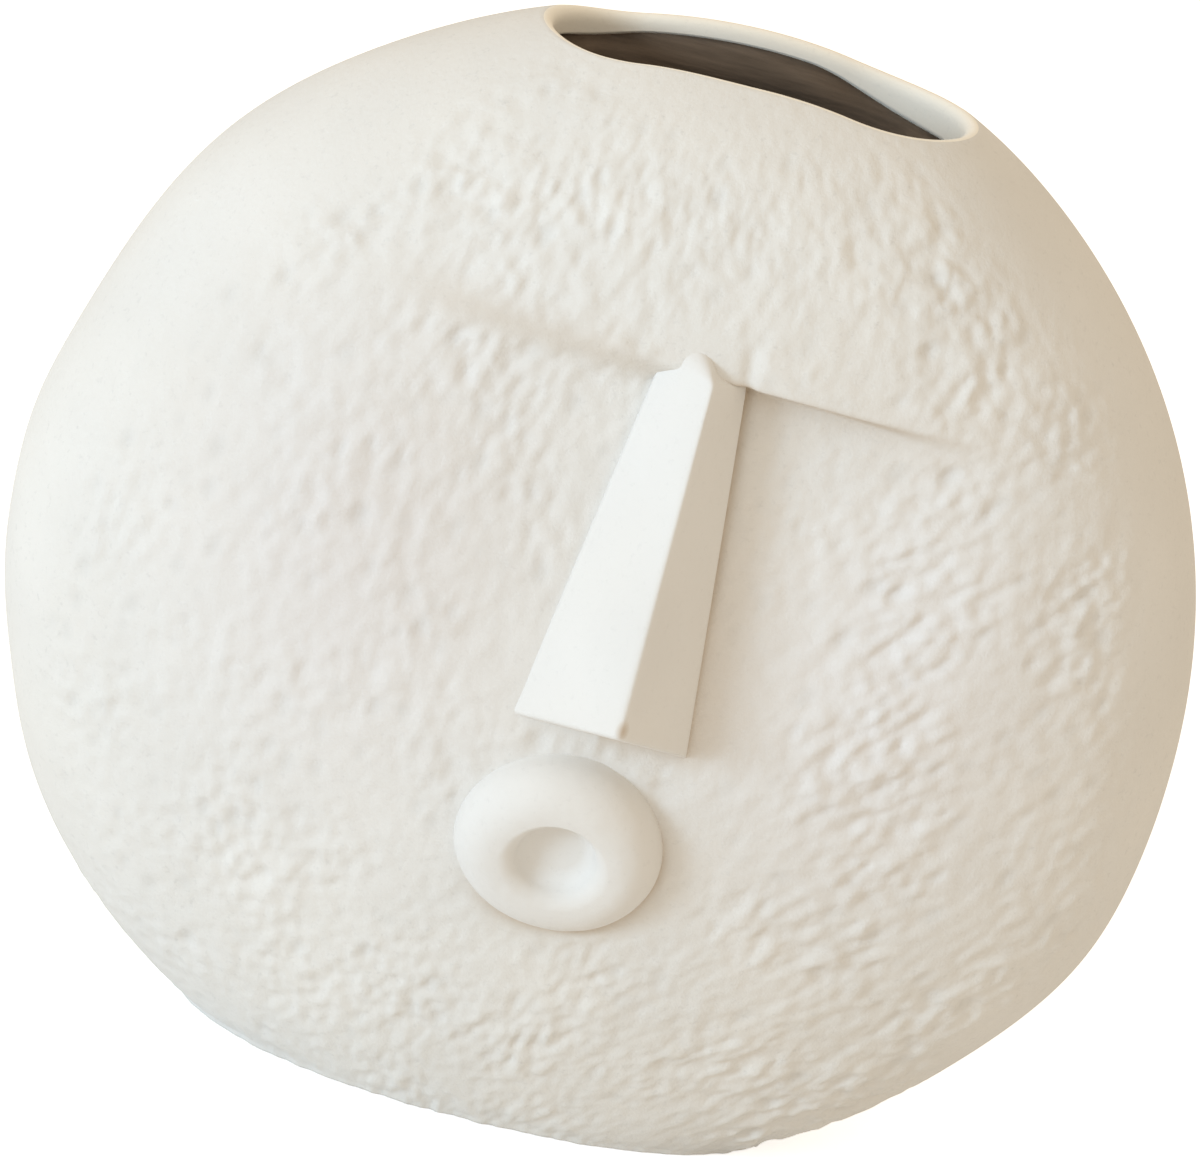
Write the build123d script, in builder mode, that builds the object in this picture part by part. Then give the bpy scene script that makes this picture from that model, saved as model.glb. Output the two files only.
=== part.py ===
"""Face vase: a hollow, pebble-shaped ceramic vase with a ridged nose and a ring-shaped mouth.

The body is built as potters build it: two pressed halves that meet on the plane Y = 0, a flat foot slab,
a lip let into the crown round the stem slot, and a nose and a mouth that are let into the front.
Millimetres, +Z up, the face looks along -Y, and the origin is in the middle of the foot.
"""
import math
import os

from build123d import *

# Body: a shallow dome that runs into a rounded edge, on an egg-shaped outline with a flat foot.
BODY_WIDTH = 180.0
BODY_DEPTH = 88.0
EDGE_RADIUS = 30.0
WIDEST_LEVEL = 72.0
CROWN_RISE = 99.5
FOOT_CUT = 13.5
WALL = 7.0
FOOT_THICKNESS = 7.0

# Stem slot: a long opening in the crown, whose left end is rounder than its right end.
# Its lip has an even thickness and follows the skin.
SLOT_WIDTH = 28.8
SLOT_STRAIGHT = 30.0
SLOT_CENTRE = -1.0
SLOT_LEFT_END = 13.3
SLOT_RIGHT_END = 18.5
LIP_BAND = 3.1
LIP_THICKNESS = 3.1
THROAT_STEP = 0.6

# Face: below a straight brow the front is pressed flatter, and it meets the dome again near the mouth.
FACE_CENTRE = -4.5
FACE_RADIUS = 320.0
BROW_RISE = 58.5
BROW_STEP = 2.4
FACE_FOOT_RISE = 3.0

# Nose: a ridge that widens and stands out more towards its undercut lower end.
NOSE_CENTRE = 5.0
NOSE_LENGTH = 54.0
NOSE_LOWER_WIDTH = 27.0
NOSE_UPPER_WIDTH = 14.2
NOSE_HEIGHT = 14.0
NOSE_RIDGE_OFFSET = 1.95
NOSE_LEAN_OFFSET = -2.7
NOSE_SEAT_DEPTH = 0.9
NOSE_UNDERCUT_ANGLE = 26.0
NOSE_CAP_LENGTH = 5.5
NOSE_CAP_OVERLAP = 1.0

# Mouth: a rounded ring with a dished middle, tipped a little towards the foot.
MOUTH_CENTRE = 1.1
MOUTH_GAP = 4.5
MOUTH_TILT = 14.0
MOUTH_RADIUS = 15.1
MOUTH_ROUND = 5.0
MOUTH_CREST = 0.4
MOUTH_SIDE = 2.5
MOUTH_SEAT_DEPTH = 2.7
DIMPLE_RADIUS = 5.7
DIMPLE_SLOPE = 60.0

# Sections that each half is lofted through, on the rounded edge and on the dome.
EDGE_SECTIONS = 6
DOME_SECTIONS = 6

half_width = BODY_WIDTH / 2
half_depth = BODY_DEPTH / 2
crown_stretch = CROWN_RISE / half_width
foot_stretch = (WIDEST_LEVEL + FOOT_CUT) / half_width
brow_level = WIDEST_LEVEL + BROW_RISE
reach = BODY_WIDTH


def dome_radius(inset):
    """Radius of the shallow dome that runs tangent into the rounded edge."""
    ring = half_width - EDGE_RADIUS
    depth = half_depth - inset
    edge = EDGE_RADIUS - inset
    return (ring**2 + depth**2 - edge**2) / (2 * (depth - edge))


def skin_depth(x, z):
    """Distance of the outer dome from the seam plane at a place on the front."""
    rise = z - WIDEST_LEVEL
    stretch = crown_stretch if rise > 0 else foot_stretch
    dome = dome_radius(0)
    return half_depth - dome + math.sqrt(dome**2 - x**2 - (rise / stretch) ** 2)


def half_pebble(inset, side):
    """Front (side 1) or back (side -1) half of the body, with its skin set in.

    Its sections shrink from the seam to the middle of the dome, and each is egg-shaped: half an ellipse
    above the widest level and half an ellipse below it.
    """
    edge = EDGE_RADIUS - inset
    dome = dome_radius(inset)
    meet = math.asin((half_width - EDGE_RADIUS) / (dome - edge))
    sections = []
    for step in range(EDGE_SECTIONS + 1):
        turn = math.pi / 2 - (math.pi / 2 - meet) * step / EDGE_SECTIONS
        sections.append((edge * math.cos(turn), half_width - EDGE_RADIUS + edge * math.sin(turn)))
    for step in range(1, DOME_SECTIONS + 1):
        turn = meet * (1 - step / (DOME_SECTIONS + 0.5))
        sections.append((half_depth - inset - dome + dome * math.cos(turn), dome * math.sin(turn)))
    with BuildPart() as half:
        for depth, radius in sections:
            with BuildSketch(Plane.XZ.offset(side * depth)):
                with BuildLine():
                    EllipticalCenterArc((0, WIDEST_LEVEL), radius, radius * crown_stretch, 0, arc_size=180)
                    EllipticalCenterArc((0, WIDEST_LEVEL), radius, radius * foot_stretch, 180, arc_size=180)
                make_face()
        loft()
    return half.part


def slot_outline(margin):
    """Outline that keeps a margin to the stem slot, at the widest level: two straight sides and two half ellipses."""
    half = SLOT_WIDTH / 2 + margin
    left = SLOT_CENTRE - SLOT_STRAIGHT / 2
    right = SLOT_CENTRE + SLOT_STRAIGHT / 2
    with BuildSketch(Plane.XY.offset(WIDEST_LEVEL)) as outline:
        with BuildLine():
            Line((right, half), (left, half))
            EllipticalCenterArc((left, 0), SLOT_LEFT_END + margin, half, 90, arc_size=180)
            Line((left, -half), (right, -half))
            EllipticalCenterArc((right, 0), SLOT_RIGHT_END + margin, half, -90, arc_size=180)
        make_face()
    return outline.sketch


# Lip round the stem slot: a ring of the crown's outer layer.
with BuildPart() as rim_collar:
    add(slot_outline(LIP_BAND))
    extrude(amount=reach)
    add(half_pebble(0, 1) + half_pebble(0, -1), mode=Mode.INTERSECT)
    add(half_pebble(LIP_THICKNESS, 1), mode=Mode.SUBTRACT)
    add(half_pebble(LIP_THICKNESS, -1), mode=Mode.SUBTRACT)
    add(slot_outline(0))
    extrude(amount=reach, mode=Mode.SUBTRACT)
rim_collar.part.label = "rim_collar"

# Rebate that the lip lies in, and the throat under it that leads into the cavity.
with BuildPart() as crown_opening:
    add(slot_outline(LIP_BAND))
    extrude(amount=reach)
    add(half_pebble(LIP_THICKNESS, 1), mode=Mode.SUBTRACT)
    add(half_pebble(LIP_THICKNESS, -1), mode=Mode.SUBTRACT)
    add(slot_outline(THROAT_STEP))
    extrude(amount=reach)

# Frame of the pressed face: it leans back from the level where it leaves the dome up to the brow.
face_top = BROW_STEP - skin_depth(FACE_CENTRE, brow_level)
face_foot = -skin_depth(FACE_CENTRE, WIDEST_LEVEL + FACE_FOOT_RISE)
face_lean = math.atan2(face_top - face_foot, BROW_RISE - FACE_FOOT_RISE)
face_up = Vector(0, math.sin(face_lean), math.cos(face_lean))
face_out = Vector(0, -math.cos(face_lean), math.sin(face_lean))
across = Vector(1, 0, 0)
brow_point = Vector(NOSE_CENTRE, face_top, brow_level)

# Nose: its two root lines and its ridge run together at one point above the brow, so all its sides are flat.
nose_apex = NOSE_LENGTH / (1 - NOSE_UPPER_WIDTH / NOSE_LOWER_WIDTH)


def nose_corners(height):
    """Left root, ridge and right root of the nose at a height along the face above its lower end."""
    share = 1 - height / nose_apex
    middle = brow_point + face_up * (height - NOSE_LENGTH) - face_out * NOSE_SEAT_DEPTH
    middle += across * (NOSE_LEAN_OFFSET * share)
    half = across * (NOSE_LOWER_WIDTH / 2 * share)
    ridge = middle + across * (NOSE_RIDGE_OFFSET * share) + face_out * (NOSE_HEIGHT * share)
    return middle - half, ridge, middle + half


def nose_section(height):
    """Triangle across the nose at a height along the face."""
    left, ridge, right = nose_corners(height)
    plane = Plane(origin=left, x_dir=across, z_dir=-face_up)
    with BuildSketch(plane) as section:
        with BuildLine():
            Polyline(*(plane.to_local_coords(corner) for corner in (left, ridge, right)), close=True)
        make_face()
    return section.sketch


# The nose's upper end is a small pyramid that runs into the forehead above the brow.
brow_left, brow_ridge, brow_right = nose_corners(NOSE_LENGTH)
cap_start = nose_corners(NOSE_LENGTH - NOSE_CAP_OVERLAP)[1]
cap_level = brow_level + NOSE_CAP_LENGTH
cap_point = Vector(brow_ridge.X, -skin_depth(brow_ridge.X, cap_level), cap_level)
cap_share = (BROW_STEP + NOSE_SEAT_DEPTH) / (NOSE_HEIGHT * NOSE_UPPER_WIDTH / NOSE_LOWER_WIDTH)
cap_planes = []
for root in (brow_left, brow_right):
    corner = root + (brow_ridge - root) * cap_share
    outward = (cap_point - cap_start).cross(corner - cap_start)
    if outward.dot(face_out) < 0:
        outward = -outward
    cap_planes.append(Plane(origin=cap_start, x_dir=cap_point - cap_start, z_dir=outward))

nose_foot = brow_point - face_up * NOSE_LENGTH
undercut = math.radians(NOSE_UNDERCUT_ANGLE)
underside = Plane(origin=nose_foot, x_dir=across, z_dir=(0, math.sin(undercut), math.cos(undercut)))
with BuildPart() as nose_ridge:
    add(nose_section(-NOSE_HEIGHT))
    add(nose_section(NOSE_LENGTH + NOSE_CAP_LENGTH))
    loft(ruled=True)
    split(bisect_by=underside, keep=Keep.TOP)
    for cap_plane in cap_planes:
        split(bisect_by=cap_plane, keep=Keep.BOTTOM)
nose_ridge.part.label = "nose_ridge"

# Mouth: its flat back lies in a round seat below the skin, just under the nose.
tilt = math.radians(MOUTH_TILT)
mouth_level = nose_foot.Z - MOUTH_GAP - MOUTH_RADIUS * math.cos(tilt)
mouth_out = Vector(0, -math.cos(tilt), -math.sin(tilt))
mouth_seat = Vector(MOUTH_CENTRE, -skin_depth(MOUTH_CENTRE, mouth_level), mouth_level) - mouth_out * MOUTH_SEAT_DEPTH
slope = math.radians(DIMPLE_SLOPE)
crest = MOUTH_SIDE + MOUTH_ROUND
inner_start = MOUTH_RADIUS - MOUTH_ROUND - MOUTH_CREST
inner_round = (inner_start - DIMPLE_RADIUS) / math.sin(slope)
dimple_edge = Vector(DIMPLE_RADIUS, crest - inner_round * (1 - math.cos(slope)))
dimple_floor = dimple_edge.Y - DIMPLE_RADIUS * math.tan(slope / 2)
with BuildPart() as mouth_ring:
    with BuildSketch(Plane(origin=mouth_seat, x_dir=across, z_dir=across.cross(mouth_out))):
        with BuildLine():
            Polyline((0, dimple_floor), (0, 0), (MOUTH_RADIUS, 0), (MOUTH_RADIUS, MOUTH_SIDE))
            TangentArc((MOUTH_RADIUS, MOUTH_SIDE), (MOUTH_RADIUS - MOUTH_ROUND, crest), tangent=(0, 1))
            Line((MOUTH_RADIUS - MOUTH_ROUND, crest), (inner_start, crest))
            TangentArc((inner_start, crest), dimple_edge, tangent=(-1, 0))
            TangentArc((0, dimple_floor), dimple_edge, tangent=(1, 0))
        make_face()
    revolve(axis=Axis(mouth_seat, mouth_out))
mouth_ring.part.label = "mouth_ring"

# Foot slab: the lowest slice of the pebble.
with BuildPart() as base_slab:
    add(half_pebble(0, 1))
    add(half_pebble(0, -1))
    split(bisect_by=Plane.XY, keep=Keep.TOP)
    split(bisect_by=Plane.XY.offset(FOOT_THICKNESS), keep=Keep.BOTTOM)
base_slab.part.label = "base_slab"

# The two halves stand on the slab and meet on the seam plane.
with BuildPart() as back_shell:
    add(half_pebble(0, -1))
    add(half_pebble(WALL, -1), mode=Mode.SUBTRACT)
    split(bisect_by=Plane.XY.offset(FOOT_THICKNESS), keep=Keep.TOP)
    add(crown_opening.part, mode=Mode.SUBTRACT)
back_shell.part.label = "back_shell"

with BuildPart() as front_shell:
    add(half_pebble(0, 1))
    add(half_pebble(WALL, 1), mode=Mode.SUBTRACT)
    split(bisect_by=Plane.XY.offset(FOOT_THICKNESS), keep=Keep.TOP)
    add(crown_opening.part, mode=Mode.SUBTRACT)
    with BuildSketch(Plane.XY.offset(brow_level)):
        sag = FACE_RADIUS - math.sqrt(FACE_RADIUS**2 - half_width**2)
        left_end = FACE_CENTRE - half_width
        right_end = FACE_CENTRE + half_width
        with BuildLine():
            pressed = ThreePointArc(
                (left_end, face_top + sag), (FACE_CENTRE, face_top), (right_end, face_top + sag)
            )
            Polyline(pressed @ 1, (right_end, -reach), (left_end, -reach), pressed @ 0)
        make_face()
    extrude(amount=brow_level - FOOT_THICKNESS, dir=-face_up, mode=Mode.SUBTRACT)
    add(nose_ridge.part, mode=Mode.SUBTRACT)
    with BuildSketch(Plane(origin=mouth_seat, x_dir=across, z_dir=mouth_out)):
        Circle(MOUTH_RADIUS)
    extrude(amount=crest, mode=Mode.SUBTRACT)
front_shell.part.label = "front_shell"

os.makedirs("parts", exist_ok=True)
for piece in (front_shell, back_shell, base_slab, rim_collar, nose_ridge, mouth_ring):
    export_step(piece.part, f"parts/{piece.part.label}.step")
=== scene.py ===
"""Face vase: builds the looks of a hollow clay vase over its packed solids.

Every new piece is a surface worked out with numpy from the sizes in the settings below. Metres, +Z up,
the face looks along -Y, and the origin is in the middle of the foot.
"""
import math

import bpy
import numpy as np
from bpy.props import FloatProperty, FloatVectorProperty, IntProperty, PointerProperty
from bpy.types import Operator, Panel, PropertyGroup
from mathutils import Matrix, Vector


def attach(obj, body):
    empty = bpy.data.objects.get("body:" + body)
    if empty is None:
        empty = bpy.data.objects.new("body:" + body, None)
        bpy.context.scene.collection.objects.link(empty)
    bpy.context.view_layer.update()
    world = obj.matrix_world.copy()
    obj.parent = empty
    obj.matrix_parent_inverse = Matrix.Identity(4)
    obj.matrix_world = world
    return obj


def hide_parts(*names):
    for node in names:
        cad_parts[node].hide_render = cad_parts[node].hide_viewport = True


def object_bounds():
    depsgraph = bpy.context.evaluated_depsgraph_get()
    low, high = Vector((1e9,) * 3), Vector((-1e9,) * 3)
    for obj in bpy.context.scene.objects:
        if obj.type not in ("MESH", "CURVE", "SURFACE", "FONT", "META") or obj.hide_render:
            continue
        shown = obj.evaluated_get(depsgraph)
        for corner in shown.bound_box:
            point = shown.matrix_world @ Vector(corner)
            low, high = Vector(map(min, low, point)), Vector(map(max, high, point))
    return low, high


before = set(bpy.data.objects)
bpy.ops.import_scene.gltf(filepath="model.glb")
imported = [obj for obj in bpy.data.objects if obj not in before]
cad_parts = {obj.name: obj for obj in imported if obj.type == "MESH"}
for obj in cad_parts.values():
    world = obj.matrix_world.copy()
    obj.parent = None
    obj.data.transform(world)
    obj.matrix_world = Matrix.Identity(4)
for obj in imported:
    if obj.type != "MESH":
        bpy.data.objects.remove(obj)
solid_low, solid_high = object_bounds()

bl_info = {
    "name": "Face vase",
    "version": (1, 0, 0),
    "blender": (4, 5, 0),
    "location": "3D View > Sidebar > Vase",
    "description": "Builds a rough clay face vase over its solids, with a plain stage",
    "category": "Add Mesh",
}

ACROSS = np.array([1.0, 0.0, 0.0])

# Share of the nose's half width at which its sides drop into the face
NOSE_ROOT = 0.95

# Soft swellings of the outline: direction clockwise from the top and spread in degrees, and height
SWELLINGS = (
    (17.0, 18.0, 0.0014),
    (115.0, 11.0, 0.0014),
    (247.0, 9.0, -0.0009),
    (272.0, 8.0, 0.0008),
    (306.0, 15.0, 0.0019),
)

# Sideways places at which a mark of the brow starts, is full, begins to fade and ends: first its smoothed
# relief, then its painted shade on the right and on the left
BROW_SMOOTHED = (-0.048, -0.034, 0.038, 0.052)
BROW_RIGHT_SHADE = (0.005, 0.009, 0.026, 0.050)
BROW_LEFT_SHADE = (-0.048, -0.026, -0.007, 0.001)

# Sideways places between which the brow's rounding grows, the lip thickens and the slot's front draws in
BROW_SOFTER_LEFT = (0.008, -0.012)
BROW_SOFTER_RIGHT = (0.026, 0.050)
LIP_THICKER_LEFT = (-0.015, -0.028)
LIP_THICKER_RIGHT = (0.008, 0.030)
SLOT_DRAWN_IN = (0.002, -0.020)

# Layers of noise: size, height and seed, for the lumps as shares of their size and height
LUMPS = (
    (1.0, 1.0, 1),
    (0.55, 0.5, 2),
    (2.2, 0.7, 3),
)
NOSE_SWELL = (
    (0.006, 0.00006, 8),
    (0.002, 0.00003, 9),
)
MOUTH_SWELL = (
    (0.007, 0.00012, 11),
    (0.002, 0.00004, 12),
)

# Unevenness of the mouth's ring: waves round it, strength and start
WOBBLES = (
    (2, 0.012, 0.6),
    (3, 0.008, 2.0),
)

# Places across the nose at which its soft end starts, is longest, begins to shorten and ends
CAP_REACH = (-1.0, -0.35, -0.30, 0.35)


def length(name, description, default):
    """A setting that is a length in metres."""
    return FloatProperty(name=name, description=description, default=default, unit="LENGTH", precision=4)


def angle(name, description, degrees):
    """A setting that is an angle, with its default in degrees."""
    radians = math.radians(degrees)
    return FloatProperty(name=name, description=description, default=radians, subtype="ANGLE")


def number(name, description, default):
    """A setting that is a plain number."""
    return FloatProperty(name=name, description=description, default=default, precision=3)


def spot(name, description, default):
    """A setting that is a place in metres."""
    return FloatVectorProperty(
        name=name, description=description, default=default, subtype="TRANSLATION", unit="LENGTH", size=3
    )


def whole(name, description, default):
    """A setting that is a whole number."""
    return IntProperty(name=name, description=description, default=default, min=3)


def colour(name, description, default):
    """A setting that is a linear colour."""
    return FloatVectorProperty(
        name=name, description=description, default=default, subtype="COLOR", size=3, min=0.0, max=1.0
    )


class VASE_PG_body(PropertyGroup):
    """Sizes of the pebble-shaped body and of its slot."""

    width: length("Width", "Width of the body", solid_high.x - solid_low.x)
    depth: length("Depth", "Depth of the body without its nose and mouth", 0.088)
    edge_radius: length("Edge radius", "Radius of the rounded edge between front and back", 0.030)
    widest_level: length("Widest level", "Height at which the body is widest", 0.072)
    crown_rise: length("Crown rise", "Height of the outline above the widest level", 0.0995)
    foot_cut: length("Foot cut", "Part of the outline that the flat foot cuts off", 0.0135)
    middle_level: length("Middle level", "Height of the middle of the outline", 0.084)
    wall: length("Wall", "Thickness of the clay wall", 0.007)
    foot_thickness: length("Foot thickness", "Thickness of the foot slab", 0.007)
    foot_round: length("Foot rounding", "Radius of the edge under the foot", 0.0012)
    slot_width: length("Slot width", "Width of the stem slot", 0.0288)
    slot_straight: length("Slot sides", "Length of the slot's straight sides", 0.030)
    slot_centre: length("Slot centre", "Sideways place of the slot's straight sides", -0.001)
    slot_left_end: length("Left end", "Length of the slot's left end", 0.0133)
    slot_right_end: length("Right end", "Length of the slot's right end", 0.0172)
    slot_front: number("Slot front", "Share by which the front side lies nearer to the seam", 0.065)
    slot_taper: number("Slot taper", "Share by which the front side draws in further to the left", 0.10)
    lip_band: length("Lip band", "Width of the lip beside the slot", 0.0031)
    lip_thickness: length("Lip thickness", "Thickness of the lip in the middle", 0.0027)
    lip_left_growth: number("Left lip growth", "Share by which the lip thickens to the left", 0.45)
    lip_right_growth: number("Right lip growth", "Share by which the lip thickens to the right", 0.80)
    lip_round: length("Lip rounding", "Radius of the lip's inner edge", 0.0023)
    throat_step: length("Throat step", "Step back of the throat under the lip", 0.0006)
    front_columns: whole("Front columns", "Columns of the front's mesh", 294)
    front_rows: whole("Front rows", "Rows of the front's mesh", 294)
    back_columns: whole("Back columns", "Columns of the back's mesh", 240)
    back_rows: whole("Back rows", "Rows of the back's mesh", 230)


class VASE_PG_face(PropertyGroup):
    """Sizes of the pressed face, the nose and the mouth."""

    brow_level: length("Brow level", "Height of the straight brow over the nose", 0.1309)
    brow_tilt: angle("Brow tilt", "Angle by which the brow falls to the right", 2.3)
    brow_depth: length("Brow depth", "Distance of the pressed face from the seam at the brow", 0.0328)
    brow_left_soft: number("Left softness", "Growth of the brow's rounding to the left", 3.4)
    brow_right_soft: number("Right softness", "Growth of the brow's rounding to the far right", 2.0)
    brow_round: length("Brow rounding", "Height over which the brow steps in", 0.0018)
    press_centre: length("Press centre", "Sideways middle of the pressed face's curve", -0.0045)
    press_radius: length("Press radius", "Radius of the pressed face across", 0.320)
    lean: angle("Lean", "Angle by which the pressed face leans back", 11.3)
    cheek_blend: length("Cheek blend", "Depth over which the pressed face runs into the cheeks", 0.0012)
    hollow_depth: length("Hollow depth", "Depth of the scoops beside the nose", 0.0022)
    hollow_reach: length("Hollow reach", "Sideways reach of the scoops", 0.032)
    nose_length: length("Nose length", "Length of the nose along the face", 0.0544)
    nose_lower_centre: length("Lower nose centre", "Sideways place of the nose's lower end", 0.0023)
    nose_lower_width: length("Lower nose width", "Width of the nose at its lower end", 0.0270)
    nose_lower_ridge: length("Lower ridge offset", "Sideways offset of the ridge there", 0.0020)
    nose_lower_height: length("Lower nose height", "Height of the ridge at the lower end", 0.0140)
    nose_upper_centre: length("Upper nose centre", "Sideways place of the nose at the brow", 0.0031)
    nose_upper_width: length("Upper nose width", "Width of the nose at the brow", 0.0132)
    nose_upper_ridge: length("Upper ridge offset", "Sideways offset of the ridge there", 0.0013)
    nose_upper_height: length("Upper nose height", "Height of the ridge at the brow", 0.0072)
    nose_seat: length("Nose seat", "Depth of the nose's root below the face", 0.0009)
    nose_undercut: angle("Nose undercut", "Angle of the nose's underside", 26.0)
    nose_under: length("Nose under", "Depth of the nose's underside behind its edge", 0.016)
    nose_cap: length("Nose cap", "Length of the nose's soft end above the brow", 0.0031)
    nose_cap_drift: length("Cap drift", "Sideways shift of the soft end to the left", 0.0008)
    nose_cap_sink: length("Cap sink", "Depth of the soft end's rim below the skin", 0.0006)
    groove_depth: length("Groove depth", "Depth of the corner beside the nose and the mouth", 0.0007)
    nose_groove: length("Nose groove", "Width of the corner beside the nose", 0.0011)
    mouth_groove: length("Mouth groove", "Width of the corner below the mouth", 0.0010)
    # Place and spread of the painted shade on the left cheek and of the painted light on the right
    cheek_level: length("Cheek level", "Height of the middle of both cheeks", 0.092)
    cheek_width: length("Cheek width", "Sideways spread of a cheek's tone", 0.026)
    cheek_height: length("Cheek height", "Upward spread of a cheek's tone", 0.036)
    left_cheek: length("Left cheek", "Sideways place of the left cheek", -0.038)
    right_cheek: length("Right cheek", "Sideways place of the right cheek", 0.040)
    mouth_centre: length("Mouth centre", "Sideways place of the mouth", 0.0011)
    mouth_level: length("Mouth level", "Height of the middle of the mouth", 0.0584)
    mouth_tilt: angle("Mouth tilt", "Angle by which the mouth looks down", 14.0)
    mouth_radius: length("Mouth radius", "Outer radius of the ring", 0.0151)
    mouth_round: length("Mouth rounding", "Radius of the ring's outer edge", 0.0062)
    mouth_crest: length("Mouth crest", "Width of the flat on the ring", 0.0007)
    mouth_side: length("Mouth side", "Height of the ring's straight side", 0.0013)
    mouth_seat: length("Mouth seat", "Depth of the ring's back below the skin", 0.0027)
    mouth_root: length("Mouth root", "Depth by which the ring reaches behind its seat", 0.0025)
    dimple_radius: length("Dimple radius", "Radius of the dished middle", 0.0057)
    dimple_floor: length("Dimple floor", "Radius of the level floor of the dish", 0.0031)
    dimple_slope: angle("Dimple slope", "Steepest slope of the dished middle", 75.0)
    dimple_shift: length("Dimple shift", "Height of the dish above the ring's middle", 0.0008)
    dimple_stretch: number("Dimple stretch", "Share by which the dish is taller than wide", 0.14)


class VASE_PG_clay(PropertyGroup):
    """Colours and relief of the clay, with the colours of its painted shade and light."""

    body_colour: colour("Body colour", "Colour of the rough clay", (0.74, 0.72, 0.68))
    # Painted shade on the left cheek and painted light on the right cheek
    painted_cheek_shade_colour: colour("Greyer colour", "Colour of the left cheek", (0.700, 0.662, 0.628))
    painted_cheek_light_colour: colour("Paler colour", "Colour of the right cheek", (0.770, 0.752, 0.735))
    smooth_colour: colour("Smooth colour", "Colour of the smoothed clay", (0.745, 0.725, 0.69))
    # The lip's cut edge is painted paler and warmer than the clay: painted light
    lit_lip_colour: colour("Lip colour", "Colour of the lip's cut edge", (0.91, 0.86, 0.76))
    # The wall inside is painted dark: painted shade in the cavity
    shaded_inside_colour: colour("Inside colour", "Colour of the wall inside", (0.140, 0.102, 0.072))
    stain_colour: colour("Stain colour", "Colour of the small ochre marks", (0.42, 0.27, 0.12))
    # Painted shade beside the nose, under the brow and below the mouth
    painted_shade_colour: colour("Corner colour", "Tint beside the nose and the mouth", (0.50, 0.38, 0.25))
    left_lean: angle("Left lean", "Angle by which the lumps on the left lean to the right", 6.0)
    right_lean: angle("Right lean", "Angle by which the lumps on the right lean to the right", 42.0)
    patch_size: length("Patch size", "Size of the rougher and smoother patches", 0.017)
    lump_size: length("Lump size", "Size of the soft lumps", 0.0021)
    lump_height: length("Lump height", "Height of the soft lumps", 0.00042)
    pit_size: length("Pit size", "Spacing of the small dents", 0.0040)
    pit_depth: length("Pit depth", "Depth of the small dents", 0.00050)


class VASE_PG_stage(PropertyGroup):
    """Camera and lights."""

    azimuth: angle("Azimuth", "Turn of the camera round the vase", -3.0)
    elevation: angle("Elevation", "Angle of the camera above the horizon", 24.0)
    roll: angle("Roll", "Turn of the picture", 15.8)
    distance: length("Distance", "Distance of the camera from its target", 0.700)
    target_level: length("Target level", "Height that the camera looks at", 0.084)
    offset_x: length("Sideways offset", "Shift of the vase to the right in the picture", 0.0018)
    offset_y: length("Upward offset", "Shift of the vase upwards in the picture", 0.0015)
    lens: number("Lens", "Focal length in millimetres", 139.5)
    key_power: number("Key power", "Power of the lamp on the left in watts", 13.8)
    key_colour: colour("Key colour", "Colour of the lamp on the left", (0.57, 0.78, 1.0))
    key_place: spot("Key place", "Place of the lamp on the left", (-1.27, -0.92, 0.42))
    key_size: length("Key size", "Side of the lamp on the left", 0.42)
    front_power: number("Front power", "Power of the weak lamp in front in watts", 2.6)
    front_colour: colour("Front colour", "Colour of the weak lamp in front", (0.55, 0.78, 1.0))
    front_place: spot("Front place", "Place of the weak lamp in front", (-0.50, -1.21, 1.0))
    front_size: length("Front size", "Side of the weak lamp in front", 1.0)
    sky_strength: number("Sky strength", "Strength of the even light", 0.785)
    sky_colour: colour("Sky colour", "Colour of the even light", (1.0, 0.86, 0.68))
    sky_white: number("Sky white", "Strength added where the camera sees the sky", 0.5)
    floor_white: number("Floor white", "Strength added where the camera sees the floor", 0.62)
    floor_colour: colour("Floor colour", "Colour of the floor", (0.92, 0.92, 0.92))
    floor_reach: length("Floor reach", "Half the side of the floor", 6.0)


def smooth_step(low, high, value):
    """Weight that runs from 0 at low to 1 at high, level at both ends."""
    share = np.clip((value - low) / (high - low), 0.0, 1.0)
    return share * share * (3.0 - 2.0 * share)


def window(value, start, full, fade, end):
    """Weight of 1 between full and fade, which runs out to 0 at the start and at the end."""
    return smooth_step(start, full, value) * smooth_step(end, fade, value)


def soft_least(first, second, width):
    """The lesser of two depths, rounded where they differ by less than the width."""
    near = np.maximum(width - np.abs(first - second), 0.0) / width
    return np.minimum(first, second) - near * near * width / 4.0


def lattice_keys(order, cell):
    """One number from 0 to 255 for each cell of a lattice, looked up three times in a shuffled list."""
    cell = cell & 255
    key = order[cell[..., 0]]
    key = order[(key + cell[..., 1]) & 255]
    return order[(key + cell[..., 2]) & 255]


def clay_noise(points, size, seed):
    """Smooth noise of about -1 to 1: random slopes at the corners of a lattice, blended between them."""
    gain = 1.6
    random = np.random.default_rng(seed)
    order = random.permutation(256)
    slopes = random.normal(size=(256, 3))
    slopes /= np.linalg.norm(slopes, axis=1, keepdims=True)
    place = points / size
    cell = np.floor(place).astype(int)
    inside = place - cell
    blend = inside**3 * (inside * (inside * 6.0 - 15.0) + 10.0)
    total = np.zeros(points.shape[:-1])
    for corner in np.ndindex(2, 2, 2):
        corner = np.array(corner)
        slope = slopes[lattice_keys(order, cell + corner)]
        weight = np.where(corner == 1, blend, 1.0 - blend).prod(-1)
        total += weight * (slope * (inside - corner)).sum(-1)
    return total * gain


def layered_noise(points, layers, scale=1.0):
    """Sum of layers of noise, each with its size, which is scaled, its height and its seed."""
    return sum(height * clay_noise(points, size * scale, seed) for size, height, seed in layers)


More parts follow.
